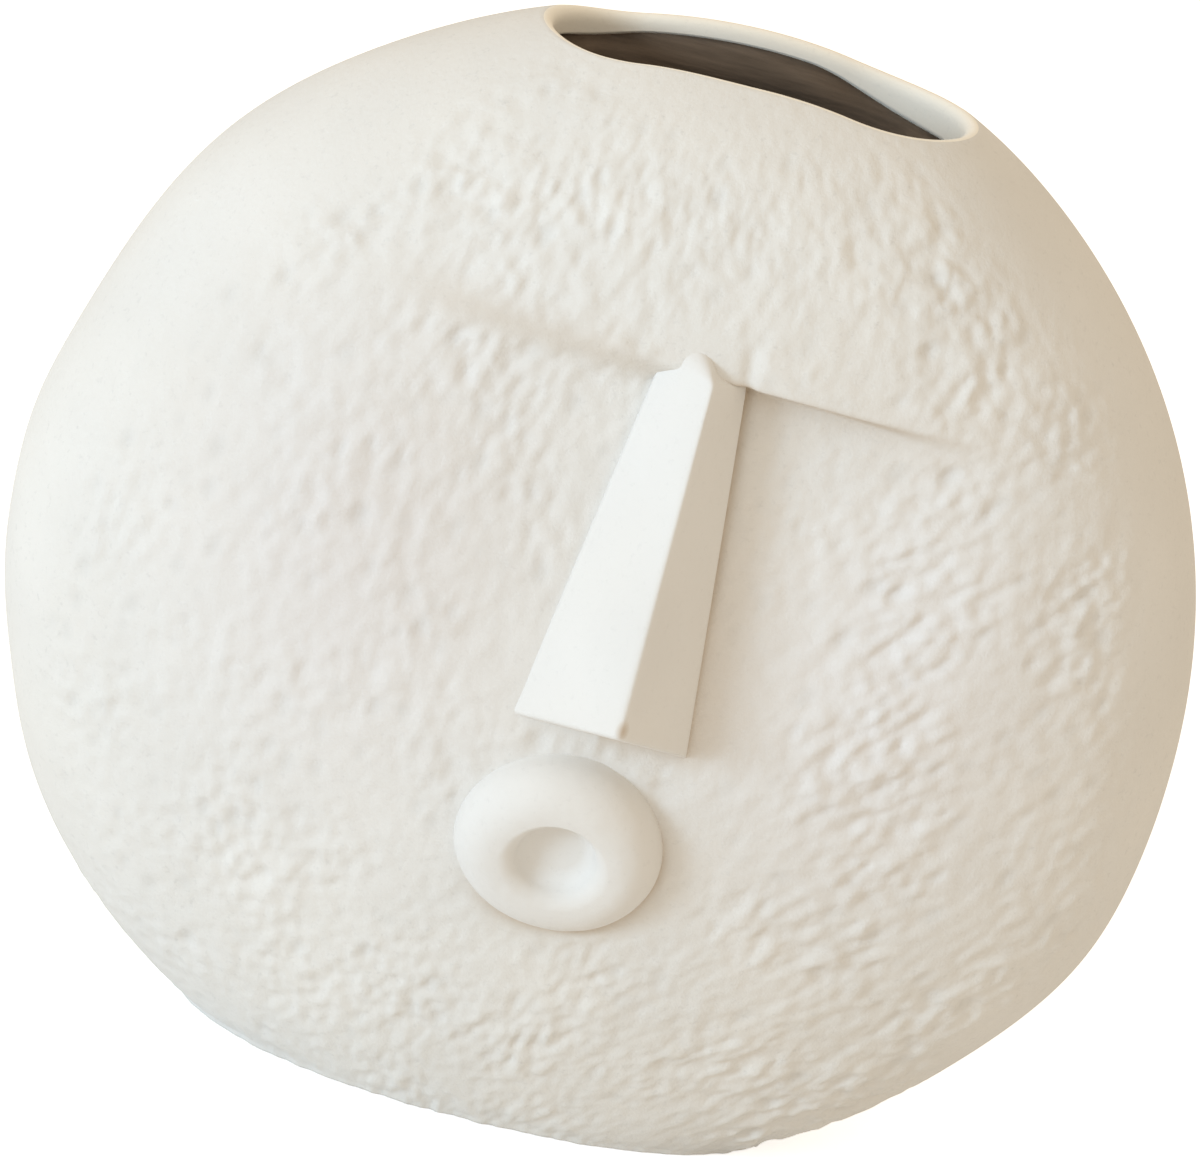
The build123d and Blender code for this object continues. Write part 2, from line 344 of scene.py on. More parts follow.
def clay_dents(points, size, seed):
    """Dents of 0 to 1: each cell of a lattice holds a ball of its own size, and the deepest counts."""
    smallest = 0.12
    largest = 0.46
    random = np.random.default_rng(seed)
    order = random.permutation(256)
    centres = random.uniform(0.1, 0.9, (256, 3))
    radii = random.uniform(smallest, largest, 256)
    place = points / size
    cell = np.floor(place).astype(int)
    deepest = np.zeros(points.shape[:-1])
    for step in np.ndindex(3, 3, 3):
        step = np.array(step) - 1
        key = lattice_keys(order, cell + step)
        gap = np.linalg.norm(place - cell - step - centres[key], axis=-1)
        dent = np.clip(1.0 - (gap / radii[key]) ** 2, 0.0, 1.0)
        deepest = np.maximum(deepest, dent * np.sqrt(dent) * radii[key] / largest)
    return deepest


def stretch_of(body, rise):
    """How far the outline is drawn out along Z, above and below the widest level."""
    half = body.width / 2
    return np.where(rise > 0, body.crown_rise / half, (body.widest_level + body.foot_cut) / half)


def egg_radius(body, x, z):
    """Distance from the middle, with heights scaled so that the egg-shaped outline is a circle."""
    rise = z - body.widest_level
    return np.hypot(x, rise / stretch_of(body, rise))


def dome_radius(body, inset):
    """Radius of the shallow dome that runs tangent into the rounded edge, with the skin set in."""
    ring = body.width / 2 - body.edge_radius
    depth = body.depth / 2 - inset
    edge = body.edge_radius - inset
    return (ring**2 + depth**2 - edge**2) / (2 * (depth - edge))


def skin_depth(body, x, z, inset=0.0):
    """Distance of the skin from the seam plane: a dome, and outside it the arc of the rounded edge."""
    radius = egg_radius(body, x, z)
    ring = body.width / 2 - body.edge_radius
    edge = body.edge_radius - inset
    dome = dome_radius(body, inset)
    on_dome = body.depth / 2 - inset - dome + np.sqrt(np.maximum(dome**2 - radius**2, 0.0))
    on_edge = np.sqrt(np.maximum(edge**2 - (radius - ring) ** 2, 0.0))
    return np.where(radius < ring * dome / (dome - edge), on_dome, on_edge)


def outline_half_width(body, z, inset=0.0):
    """Half the width of the egg-shaped outline at a height."""
    rise = z - body.widest_level
    return np.sqrt(np.maximum((body.width / 2 - inset) ** 2 - (rise / stretch_of(body, rise)) ** 2, 0.0))


def hand_shaped(body, points):
    """Points moved in and out by the soft swellings, which grow with the distance from the middle."""
    x = points[..., 0]
    rise = points[..., 2] - body.middle_level
    radius = np.hypot(x, rise)
    turn = np.arctan2(x, rise)
    swell = np.zeros_like(x)
    for direction, spread, height in SWELLINGS:
        gap = (turn - math.radians(direction) + math.pi) % (2 * math.pi) - math.pi
        swell += height * np.exp(-((gap / math.radians(spread)) ** 2))
    share = swell * radius / (body.width / 2) ** 2
    return points + np.stack([x * share, np.zeros_like(x), rise * share], axis=-1)


def slot_reach(body, share, margin):
    """Distance along the slot's outline with a margin, for shares from -1 at its left end to 1."""
    end = np.where(share > 0, body.slot_right_end, body.slot_left_end)
    return share * (body.slot_straight / 2 + end + margin)


def slot_depth(body, along, margin, side):
    """Distance of the slot's outline, with a margin, from the seam: straight sides and half ellipses.

    The front side lies a little nearer, most of all towards the left end.
    """
    end = np.where(along > 0, body.slot_right_end, body.slot_left_end) + margin
    past = np.maximum(np.abs(along) - body.slot_straight / 2, 0.0) / end
    drawn_in = body.slot_front + body.slot_taper * smooth_step(*SLOT_DRAWN_IN, along)
    taper = 1.0 - drawn_in * (side < 0)
    return (body.slot_width / 2 + margin) * np.sqrt(np.maximum(1.0 - past**2, 0.0)) * taper


def lip_depth(body, x):
    """Thickness of the lip, which grows towards both ends of the slot."""
    left = body.lip_left_growth * smooth_step(*LIP_THICKER_LEFT, x)
    right = body.lip_right_growth * smooth_step(*LIP_THICKER_RIGHT, x)
    return body.lip_thickness * (1.0 + left + right)


def crown_level(body, x, depth, inset=0.0):
    """Height at which the rounded edge over the crown has the given depth."""
    edge = body.edge_radius - inset
    radius = body.width / 2 - body.edge_radius + np.sqrt(edge**2 - depth**2)
    return body.widest_level + 2 * body.crown_rise / body.width * np.sqrt(radius**2 - x**2)


def below_brow(face, x, z):
    """Height of the brow, which falls to the right, above a place."""
    return face.brow_level - (x - face.nose_upper_centre) * math.tan(face.brow_tilt) - z


def face_depth(face, x, z):
    """Depth of the pressed face: a wide arc across that leans back, scooped out beside the nose."""
    scoop_end = 0.054
    scoop_full = 0.012
    sag = face.press_radius - np.sqrt(face.press_radius**2 - (x - face.press_centre) ** 2)
    below = face.brow_level - z
    aside = (x - face.nose_upper_centre) / face.hollow_reach
    scoop = np.exp(-(aside**2)) * smooth_step(scoop_end, scoop_full, below)
    return face.brow_depth - sag + below * math.tan(face.lean) - face.hollow_depth * scoop


def front_depth(body, face, x, z):
    """Depth of the front: the dome, and below the brow the pressed face where that lies deeper.

    The step under the brow is crisp right of the nose and runs out softly to the left and to the far
    right. Fine grooves follow the roots of the nose and of the mouth, and the skin sinks behind the
    mouth.
    """
    share_above = 0.25
    end_fade = 0.002
    mouth_share = 0.7
    seat_edge = (-0.0030, -0.0060)
    dome = skin_depth(body, x, z)
    pressed = soft_least(dome, face_depth(face, x, z), face.cheek_blend)
    to_left = face.brow_left_soft * smooth_step(*BROW_SOFTER_LEFT, x)
    to_right = face.brow_right_soft * smooth_step(*BROW_SOFTER_RIGHT, x)
    step = face.brow_round * (1.0 + to_left + to_right)
    under_brow = smooth_step(-share_above, 1.0 - share_above, below_brow(face, x, z) / step)
    aside, half, beyond, below = nose_gap(face, x, z)
    beside = np.exp(-(((aside - half) / face.nose_groove) ** 2))
    beside = beside * smooth_step(end_fade, -end_fade, beyond)
    shallower_down = 1.0 - 0.6 * smooth_step(0.0, 0.9, below)
    gap, lower_right = mouth_gap(face, x, z)
    round_mouth = np.exp(-((gap / face.mouth_groove) ** 2)) * smooth_step(-0.4, 0.8, lower_right)
    groove = face.groove_depth * (beside * shallower_down + mouth_share * round_mouth)
    seat = face.mouth_seat * smooth_step(*seat_edge, gap)
    return dome + (pressed - dome) * under_brow - groove - seat


def nose_gap(face, x, z):
    """Distance from the nose's middle, half its width, distance beyond its ends, share of its length."""
    above_brow = 0.10
    below = (face.brow_level - z) / (face.nose_length * math.cos(face.lean))
    spread = face.nose_upper_width + (face.nose_lower_width - face.nose_upper_width) * below
    middle = face.nose_upper_centre + (face.nose_lower_centre - face.nose_upper_centre) * below
    beyond = np.maximum(-above_brow - below, below - 1.0) * face.nose_length
    return x - middle, NOSE_ROOT * spread / 2, beyond, below


def mouth_gap(face, x, z):
    """Distance from the mouth's edge, and how far the direction from its middle is to the lower right."""
    right = 0.6
    down = 0.8
    across = x - face.mouth_centre
    rise = (z - face.mouth_level) / math.cos(face.mouth_tilt)
    radius = np.hypot(across, rise)
    return radius - face.mouth_radius, (right * across - down * rise) / np.maximum(radius, 1e-6)


def applied_share(face, x, z):
    """Share of 1 on the open skin, which falls to 0 at the nose and the mouth and is low at the brow."""
    nose_border = (-0.0004, 0.0020)
    mouth_border = (0.0, 0.0022)
    brow_drop = 0.0008
    brow_spread = 0.0026
    brow_loss = 0.8
    aside, half, beyond, _ = nose_gap(face, x, z)
    nose = smooth_step(*nose_border, np.maximum(np.abs(aside) - half, beyond))
    gap, _ = mouth_gap(face, x, z)
    at_brow = np.exp(-(((below_brow(face, x, z) - brow_drop) / brow_spread) ** 2))
    brow = 1.0 - brow_loss * window(x, *BROW_SMOOTHED) * at_brow
    return nose * brow * smooth_step(*mouth_border, gap)


def painted_shade_share(face, x, z):
    """Share of 1 of painted shade in the corners right of the nose, under the brow and below the mouth.

    It fades with the distance from each: beside the nose as a thin line, strongest at the brow, and a
    wide band of painted shadow cast by the nose, strongest at the lower end.
    """
    line_width = 0.0009
    band_width = 0.003
    mouth_width = 0.0011
    right_width = 0.0024
    left_drop = 0.0008
    left_spread = 0.0028
    aside, half, beyond, below = nose_gap(face, x, z)
    along = smooth_step(0.004, -0.002, beyond) * smooth_step(-0.02, 0.03, below)
    away = np.maximum(aside - half, 0.0)
    line_strength = 0.8 * (1.0 - 0.65 * smooth_step(0.0, 0.9, below))
    line = line_strength * np.exp(-away / line_width)
    band_strength = 0.10 + 0.36 * smooth_step(0.1, 0.8, below)
    wider_down = 1.0 + np.clip(below, 0.0, 1.0)
    band = band_strength * np.exp(-away / (band_width * wider_down))
    nose = along * (line + band) * (aside > 0)
    gap, lower_right = mouth_gap(face, x, z)
    mouth = np.exp(-np.maximum(gap, 0.0) / mouth_width) * smooth_step(-0.35, 0.8, lower_right)
    drop = below_brow(face, x, z)
    under = smooth_step(-0.0010, 0.0004, drop) * np.exp(-np.maximum(drop, 0.0) / right_width)
    right = window(x, *BROW_RIGHT_SHADE) * under
    left = window(x, *BROW_LEFT_SHADE) * np.exp(-(((drop - left_drop) / left_spread) ** 2))
    return np.clip(nose + 0.9 * mouth + 0.75 * right + 0.42 * left, 0.0, 1.0)


def cheek_share(face, x, z, centre):
    """Share of 1 in the middle of a cheek, which fades to nothing round it: the left cheek's painted
    shade and the right cheek's painted light follow it.
    """
    aside = (x - centre) / face.cheek_width
    above = (z - face.cheek_level) / face.cheek_height
    return np.exp(-(aside**2) - above**2)


def rough_share(body, points):
    """Share of the roughness: full on the dome, none on the rounded sides, with an uneven border.

    The border lies further in on the left, and further out at the foot and in front below the slot.
    """
    border_end = 0.97
    border_full = 0.84
    crown_share = 0.2
    x = points[..., 0]
    z = points[..., 2]
    uneven = 0.05 * clay_noise(points, 0.022, 5)
    left = 0.03 * smooth_step(0.0, -0.05, x)
    foot = 0.10 * smooth_step(0.030, 0.012, z)
    below_slot = smooth_step(0.120, 0.145, z) * smooth_step(0.048, 0.022, np.abs(x + 0.004))
    slot = 0.10 * below_slot * (points[..., 1] < 0)
    radius = egg_radius(body, x, z) / (body.width / 2) + uneven + left - foot - slot
    share = smooth_step(border_end, border_full, radius)
    under_crown = smooth_step(0.166, 0.158, z)
    off_seam = smooth_step(0.0, 0.012, np.abs(points[..., 1]))
    return share * (crown_share + (1.0 - crown_share) * under_crown) * off_seam


def drawn_relief(clay, points, lean):
    """Lumps of three sizes and dents, all drawn out along a direction that leans to the right."""
    drawn_out = 0.62
    x = points[..., 0]
    z = points[..., 2]
    across = x * math.cos(lean) - z * math.sin(lean)
    along = x * math.sin(lean) + z * math.cos(lean)
    drawn = np.stack([across, points[..., 1], along * drawn_out], axis=-1)
    return layered_noise(drawn, LUMPS, clay.lump_size), clay_dents(drawn, clay.pit_size, 6)


def clay_relief(body, face, clay, points):
    """Height of the rough surface and the depth of its dents.

    Lumps and dents are drawn out upwards on the left and slanting on the right cheek. Smoother patches
    lie between, and the relief is stronger on the right, at the chin and at the upper left.
    """
    most_gain = 0.35
    x = points[..., 0]
    z = points[..., 2]
    share = rough_share(body, points)
    share = np.where(points[..., 1] < 0, share * applied_share(face, x, z), share)
    lumps, dents = drawn_relief(clay, points, clay.left_lean)
    slanting, slanting_dents = drawn_relief(clay, points, clay.right_lean)
    right = smooth_step(-0.005, 0.045, x)
    lumps = lumps + (slanting - lumps) * right
    dents = dents + (slanting_dents - dents) * right
    patches = np.clip(0.75 + 0.8 * clay_noise(points, clay.patch_size, 4), 0.3, 1.25)
    right_cheek = smooth_step(0.015, 0.035, x)
    chin = 0.6 * smooth_step(0.075, 0.045, z)
    upper_left = 0.8 * smooth_step(-0.005, -0.030, x) * smooth_step(0.100, 0.125, z)
    stronger = np.maximum(np.maximum(right_cheek, chin), upper_left)
    patches = patches * (1.0 + most_gain * stronger)
    height = share * patches * (clay.lump_height * lumps - clay.pit_depth * dents)
    return height, share * dents


def skin_normal(body, x, z, side):
    """Outward direction of the smooth skin, from the slopes of its depth."""
    step = 0.0002
    slope_x = (skin_depth(body, x + step, z) - skin_depth(body, x - step, z)) / (2 * step)
    slope_z = (skin_depth(body, x, z + step) - skin_depth(body, x, z - step)) / (2 * step)
    normal = np.stack([-slope_x, np.full_like(x, side), -slope_z], axis=-1)
    return normal / np.linalg.norm(normal, axis=-1, keepdims=True)


def roughened(body, face, clay, points, side):
    """Points of the smooth skin moved along its normals by the clay's relief, and depth of the dents."""
    height, dents = clay_relief(body, face, clay, points)
    normal = skin_normal(body, points[..., 0], points[..., 2], side)
    return points + normal * height[..., None], dents


def edge_facing(body, x, z, side):
    """Outward direction of the smooth rounded edge between front and back."""
    radius = egg_radius(body, x, z)
    rise = z - body.widest_level
    past = radius - body.width / 2 + body.edge_radius
    upward = rise / stretch_of(body, rise) ** 2 * past / radius
    facing = np.stack([x * past / radius, side * skin_depth(body, x, z), upward], axis=-1)
    return facing / np.linalg.norm(facing, axis=-1, keepdims=True)


def skin_facing(body, face, clay, x, z, side):
    """Outward direction of the finished skin, from its slopes over a short step.

    Close to the seam it is that of the smooth rounded edge.
    """
    step = 0.0003
    close_to_seam = 0.006

    def place(x, z):
        depth = front_depth(body, face, x, z) if side < 0 else skin_depth(body, x, z)
        points, _ = roughened(body, face, clay, np.stack([x, side * depth, z], axis=-1), side)
        return hand_shaped(body, points)

    slope_x = place(x + step, z) - place(x - step, z)
    slope_z = place(x, z + step) - place(x, z - step)
    facing = np.cross(slope_x, slope_z) * -side
    facing /= np.linalg.norm(facing, axis=-1, keepdims=True)
    away = skin_depth(body, x, z) > close_to_seam
    return np.where(away[..., None], facing, edge_facing(body, x, z, side))


def column_turns(count):
    """Angles of the columns from the left seam to the right seam, closer together on the front."""
    even = 0.62
    share = np.linspace(-1.0, 1.0, count)
    return math.pi / 2 * (even * share + (1.0 - even) * share**3)


def row_levels(body, face, low, high, count):
    """Heights of the rows: even steps along the middle of the skin, closer together at the brow."""
    samples = 4000
    brow_weight = 2.5
    brow_spread = 0.0011
    level = np.linspace(low, high, samples)
    slope = np.gradient(skin_depth(body, np.zeros_like(level), level), level)
    at_brow = np.exp(-(((level - face.brow_level) / brow_spread) ** 2))
    weight = np.sqrt(1.0 + slope**2) + brow_weight * at_brow
    total = np.concatenate([[0.0], np.cumsum((weight[1:] + weight[:-1]) / 2)])
    return np.interp(np.linspace(0.0, total[-1], count), total, level)


def elevation_grid(body, face, rows, turns, side, margin, inset=0.0):
    """Places on the front elevation: level rows that bend up to the slot's outline with a margin.

    Each row runs from the left to the right outline, and its places follow the sine of the column's turn.
    Rows close to the brow tilt with it.
    """
    bend_from = 0.75
    tilt_end = 0.024
    tilt_full = 0.006
    along = slot_reach(body, np.sin(turns), margin)
    edge = crown_level(body, body.slot_centre + along, slot_depth(body, along, margin, side), inset)
    levels = rows(float(edge.min()))
    bend = smooth_step(bend_from * levels[-1], levels[-1], levels)
    z = levels[:, None] + bend[:, None] * (edge - levels[-1])[None, :]
    near_brow = smooth_step(tilt_end, tilt_full, np.abs(levels - face.brow_level))[:, None]
    flat_x = outline_half_width(body, levels, inset)[:, None] * np.sin(turns)[None, :]
    z = z + near_brow * below_brow(face, flat_x, face.brow_level)
    left = -outline_half_width(body, z[:, :1], inset)
    right = outline_half_width(body, z[:, -1:], inset)
    x = (left + right) / 2 + (right - left) / 2 * np.sin(turns)[None, :]
    return x + bend[:, None] * (body.slot_centre + along - x[-1])[None, :], z


def grid_faces(rows, columns, close_rows=False, close_columns=False):
    """Quads of a grid whose points are numbered row by row."""
    row, column = np.meshgrid(
        np.arange(rows if close_rows else rows - 1),
        np.arange(columns if close_columns else columns - 1),
        indexing="ij",
    )
    above = (row + 1) % rows * columns
    right = (column + 1) % columns
    corners = [row * columns + column, row * columns + right, above + right, above + column]
    return np.stack(corners, axis=-1).reshape(-1, 4)


def fan_faces(loop, pole):
    """Triangles from each step of a closed loop of points to one pole."""
    return np.stack([loop, np.roll(loop, -1), np.full_like(loop, pole)], axis=-1)


def ring_solid(rings, first_pole, last_pole):
    """Points and faces of a closed solid: rings of points, and a fan to a pole at each end."""
    rows, columns = rings.shape[:2]
    points = np.concatenate([rings.reshape(-1, 3), [first_pole], [last_pole]])
    loop = np.arange(columns)
    fans = np.concatenate([
        fan_faces(loop[::-1], rows * columns),
        fan_faces((rows - 1) * columns + loop, rows * columns + 1),
    ])
    return points, [(grid_faces(rows, columns, close_columns=True), 0), (fans, 0)]


def signed_volume(points, face_sets):
    """Volume inside the faces, below zero if they point inwards: each face is a fan of triangles."""
    total = 0.0
    for faces, _ in face_sets:
        first = points[faces[:, 0]]
        for corner in range(1, faces.shape[1] - 1):
            turn = np.cross(points[faces[:, corner]], points[faces[:, corner + 1]])
            total += (first * turn).sum() / 6.0
    return total


def add_piece(name, points, face_sets, materials, node, layers=(), facing=None):
    """Makes one closed mesh from points and sets of faces with a material number, riding on the root.

    Each layer is the name and the values of an attribute of the points. Facing holds normals for some
    points, and zeros where the faces give them.
    """
    sharp_from = math.radians(62)
    points = np.ascontiguousarray(points.reshape(-1, 3))
    if signed_volume(points, face_sets) < 0:
        face_sets = [(faces[:, ::-1], which) for faces, which in face_sets]
    corners = np.concatenate([faces.ravel() for faces, _ in face_sets])
    sizes = np.concatenate([np.full(len(faces), faces.shape[1]) for faces, _ in face_sets])
    numbers = np.concatenate([np.full(len(faces), which) for faces, which in face_sets])
    mesh = bpy.data.meshes.new(name)
    mesh.vertices.add(len(points))
    mesh.vertices.foreach_set("co", points.ravel())
    mesh.loops.add(len(corners))
    mesh.loops.foreach_set("vertex_index", corners)
    mesh.polygons.add(len(sizes))
    mesh.polygons.foreach_set("loop_start", np.cumsum(sizes) - sizes)
    mesh.polygons.foreach_set("material_index", numbers)
    mesh.update(calc_edges=True)
    if mesh.validate():
        raise RuntimeError(f"the mesh of {name} has faulty faces")
    mesh.shade_smooth()
    mesh.set_sharp_from_angle(angle=sharp_from)
    if facing is not None:
        mesh.normals_split_custom_set_from_vertices(facing.reshape(-1, 3))
    for layer_name, values in layers:
        layer = mesh.attributes.new(layer_name, "FLOAT", "POINT")
        layer.data.foreach_set("value", values.ravel())
    for material in materials:
        mesh.materials.append(material)
    piece = bpy.data.objects.new(name, mesh)
    bpy.context.scene.collection.objects.link(piece)
    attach(piece, "root")
    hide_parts(node)
    return piece


def add_node(tree, kind, **values):
    """Adds a shader node; values are its properties or, by socket name, its inputs."""
    node = tree.nodes.new(kind)
    for name, value in values.items():
        if hasattr(node, name):
            setattr(node, name, value)
        else:
            node.inputs[name.replace("_", " ")].default_value = value
    return node


def noise_value(tree, place, scale, detail=4.0, roughness=0.55):
    """Noise texture on a place, as its grey value."""
    node = add_node(tree, "ShaderNodeTexNoise", Scale=scale, Detail=detail, Roughness=roughness)
    tree.links.new(place, node.inputs["Vector"])
    return node.outputs["Fac"]


def remap(tree, value, low, high, new_low, new_high):
    """Value carried from one range to another, clamped."""
    node = add_node(tree, "ShaderNodeMapRange")
    limits = {"From Min": low, "From Max": high, "To Min": new_low, "To Max": new_high}
    for socket, limit in limits.items():
        node.inputs[socket].default_value = limit
    tree.links.new(value, node.inputs["Value"])
    return node.outputs["Result"]


def mix_colour(tree, share, first, second):
    """Mix of two colours, each a socket or a fixed colour, by a share."""
    node = add_node(tree, "ShaderNodeMix", data_type="RGBA")
    tree.links.new(share, node.inputs["Factor"])
    for socket, value in ((node.inputs[6], first), (node.inputs[7], second)):
        if isinstance(value, bpy.types.NodeSocket):
            tree.links.new(value, socket)
        else:
            socket.default_value = (*value, 1.0)
    return node.outputs[2]


def scaled(values, share):
    """A colour times a share."""
    return tuple(min(1.0, value * share) for value in values)


def near_mark(tree, place, centre, radius):
    """Share of 1 in a small mark's core, which falls to 0 at its border."""
    core = 0.35
    gap = add_node(tree, "ShaderNodeVectorMath", operation="DISTANCE")
    tree.links.new(place, gap.inputs[0])
    gap.inputs[1].default_value = centre
    return remap(tree, gap.outputs["Value"], radius * core, radius, 1.0, 0.0)


def start_material(name, shine):
    """New material, its node tree, its surface shader and the place on the piece."""
    material = bpy.data.materials.new(name)
    material.use_nodes = True
    tree = material.node_tree
    shader = tree.nodes["Principled BSDF"]
    shader.inputs["Specular IOR Level"].default_value = shine
    place = add_node(tree, "ShaderNodeTexCoord").outputs["Object"]
    return material, tree, shader, place


def add_grain(tree, shader, height, strength, distance):
    """Fine grain of a finish, from a grey value as its height."""
    bump = add_node(tree, "ShaderNodeBump", Strength=strength, Distance=distance)
    tree.links.new(height, bump.inputs["Height"])
    tree.links.new(bump.outputs["Normal"], shader.inputs["Normal"])


def clay_material(name, base, cloud, speckle, grain, roughness, marks=(), layers=()):
    """Matt fired clay: a base colour with soft clouds and fine specks, a fine grain, and small marks.

    Each layer is the name of an attribute, its strength and the tint that it mixes in, as painted shade
    or light. Each mark, a stained spot or a patch of painted shade, is its centre, its radius, its colour
    and its strength.
    """
    material, tree, shader, place = start_material(name, 0.22)
    clouds = remap(tree, noise_value(tree, place, 48.0), 0.32, 0.68, 0.0, 1.0)
    tone = mix_colour(tree, clouds, scaled(base, 1.0 - cloud), scaled(base, 1.0 + cloud))
    warmth = remap(tree, noise_value(tree, place, 21.0, detail=2.0), 0.40, 0.75, 0.0, 0.5)
    tone = mix_colour(tree, warmth, tone, (base[0], base[1] * 0.97, base[2] * 0.93))
    fine = noise_value(tree, place, 900.0, detail=3.0, roughness=0.7)
    specks = remap(tree, fine, 0.58, 0.78, 0.0, speckle)
    tone = mix_colour(tree, specks, tone, scaled(base, 0.72))
    for layer_name, strength, tint in layers:
        layer = add_node(tree, "ShaderNodeAttribute", attribute_name=layer_name).outputs["Fac"]
        tone = mix_colour(tree, remap(tree, layer, 0.0, 1.0, 0.0, strength), tone, tint)
    for centre, radius, stain_and_shade, strength in marks:
        share = remap(tree, near_mark(tree, place, centre, radius), 0.0, 1.0, 0.0, strength)
        tone = mix_colour(tree, share, tone, stain_and_shade)
    tree.links.new(tone, shader.inputs["Base Color"])
    sheen = remap(tree, noise_value(tree, place, 160.0), 0.3, 0.7, roughness - 0.06, roughness + 0.06)
    tree.links.new(sheen, shader.inputs["Roughness"])
    finest = noise_value(tree, place, 1100.0, detail=5.0, roughness=0.65)
    add_grain(tree, shader, finest, strength=grain, distance=0.0004)
    return material


def inside_material(clay):
    """Wall inside: clay with level streaks, painted dark as painted shade in the cavity."""
    material, tree, shader, place = start_material("wiped_inside", 0.2)
    shader.inputs["Roughness"].default_value = 0.8
    flat = add_node(tree, "ShaderNodeMapping")
    flat.inputs["Scale"].default_value = (0.12, 0.5, 1.0)
    tree.links.new(place, flat.inputs["Vector"])
    streaks = remap(tree, noise_value(tree, flat.outputs["Vector"], 420.0), 0.35, 0.68, 0.0, 1.0)
    tone = mix_colour(tree, streaks, scaled(clay.shaded_inside_colour, 0.72), scaled(clay.shaded_inside_colour, 1.28))
    tree.links.new(tone, shader.inputs["Base Color"])
    add_grain(tree, shader, streaks, strength=0.3, distance=0.0006)
    return material


def rough_clay(scene):
    """The body's rough clay, made once."""
    made = bpy.data.materials.get("rough_clay")
    if made:
        return made
    clay = scene.vase_clay
    layers = (
        # Painted shade on the left cheek and painted light on the right cheek
        ("greyer", 1.0, clay.painted_cheek_shade_colour),
        ("paler", 1.0, clay.painted_cheek_light_colour),
        # Painted shade: the dents are darkened
        ("dents", 0.25, scaled(clay.body_colour, 0.72)),
        # Painted shade in the corners by the nose, under the brow and below the mouth
        ("contact", 0.7, clay.painted_shade_colour),
    )
    return clay_material(
        "rough_clay", clay.body_colour, cloud=0.03, speckle=0.4, grain=0.28, roughness=0.86, layers=layers
    )


def shell_half(body, face, clay, side, columns, rows):
    """Closed half of the body: its points, its sets of faces, its layers and its normals at the joints.

    Every column is a closed loop: up the outer skin, down into the rebate for the lip, down the throat
    and the inner wall, and back along the foot. The two end columns lie on the seam plane, and a flat
    face closes each of them.
    """
    inner_count = 30
    turns = column_turns(columns)

    def outer_rows(top):
        return row_levels(body, face, body.foot_thickness, top, rows)

    def inner_rows(top):
        return np.linspace(body.foot_thickness, top, inner_count)

    skin_x, skin_z = elevation_grid(body, face, outer_rows, turns, side, body.lip_band)
    if side < 0:
        depth = front_depth(body, face, skin_x, skin_z)
    else:
        depth = skin_depth(body, skin_x, skin_z)
    outer, dents = roughened(body, face, clay, np.stack([skin_x, side * depth, skin_z], axis=-1), side)
    edge = outer[-1]
    corner = edge.copy()
    corner[:, 2] = crown_level(body, edge[:, 0], edge[:, 1], lip_depth(body, edge[:, 0]))
    along = slot_reach(body, np.sin(turns), body.throat_step)
    throat_x = body.slot_centre + along
    throat_y = side * slot_depth(body, along, body.throat_step, side)
    throat_z = crown_level(body, throat_x, throat_y, lip_depth(body, throat_x))
    throat = np.stack([throat_x, throat_y, throat_z], axis=-1)
    x, z = elevation_grid(body, face, inner_rows, turns, side, body.throat_step, body.wall)
    inner = np.stack([x, side * skin_depth(body, x, z, body.wall), z], axis=-1)[::-1]
    points = hand_shaped(body, np.concatenate([outer, corner[None], throat[None], inner]))
    faces = grid_faces(len(points), columns, close_rows=True)
    inside = np.repeat(np.arange(len(points)) > rows, columns - 1)
    loop = np.arange(len(points)) * columns
    ends = np.stack([loop, (loop + columns - 1)[::-1]])
    rest = np.zeros((len(points) - rows, columns))
    x = outer[..., 0]
    z = outer[..., 2]
    tones = {
        # Depth of the dents, which the clay darkens as painted shade
        "dents": dents,
        # Painted shade in the corners by the nose, the brow and the mouth
        "contact": painted_shade_share(face, x, z) * (side < 0),
        # Painted shade on the left cheek and painted light on the right cheek
        "greyer": cheek_share(face, x, z, face.left_cheek) * (side < 0),
        "paler": cheek_share(face, x, z, face.right_cheek) * (side < 0),
    }
    layers = [(name, np.concatenate([tone, rest])) for name, tone in tones.items()]
    facing = np.zeros_like(points)
    for row in (0, rows - 1):
        facing[row] = skin_facing(body, face, clay, skin_x[row], skin_z[row], side)
    for column in (0, columns - 1):
        facing[:rows, column] = edge_facing(body, skin_x[:, column], skin_z[:, column], side)
    return points, [(faces[~inside], 0), (faces[inside], 1), (ends, 1)], layers, facing


class VASE_OT_shells(Operator):
    """Make the two rough halves of the body, with the pressed face on the front"""

    bl_idname = "vase.shells"
    bl_label = "Body halves"

    def execute(self, context):
        scene = context.scene
        body = scene.vase_body
        face = scene.vase_face
        clay = scene.vase_clay
        materials = [rough_clay(scene), inside_material(clay)]
        halves = (
            ("front_skin", "front_shell", -1, body.front_columns, body.front_rows),
            ("back_skin", "back_shell", 1, body.back_columns, body.back_rows),
        )
        for name, node, side, columns, rows in halves:
            points, faces, layers, facing = shell_half(body, face, clay, side, columns, rows)
            add_piece(name, points, faces, materials, node, layers, facing)
        return {"FINISHED"}


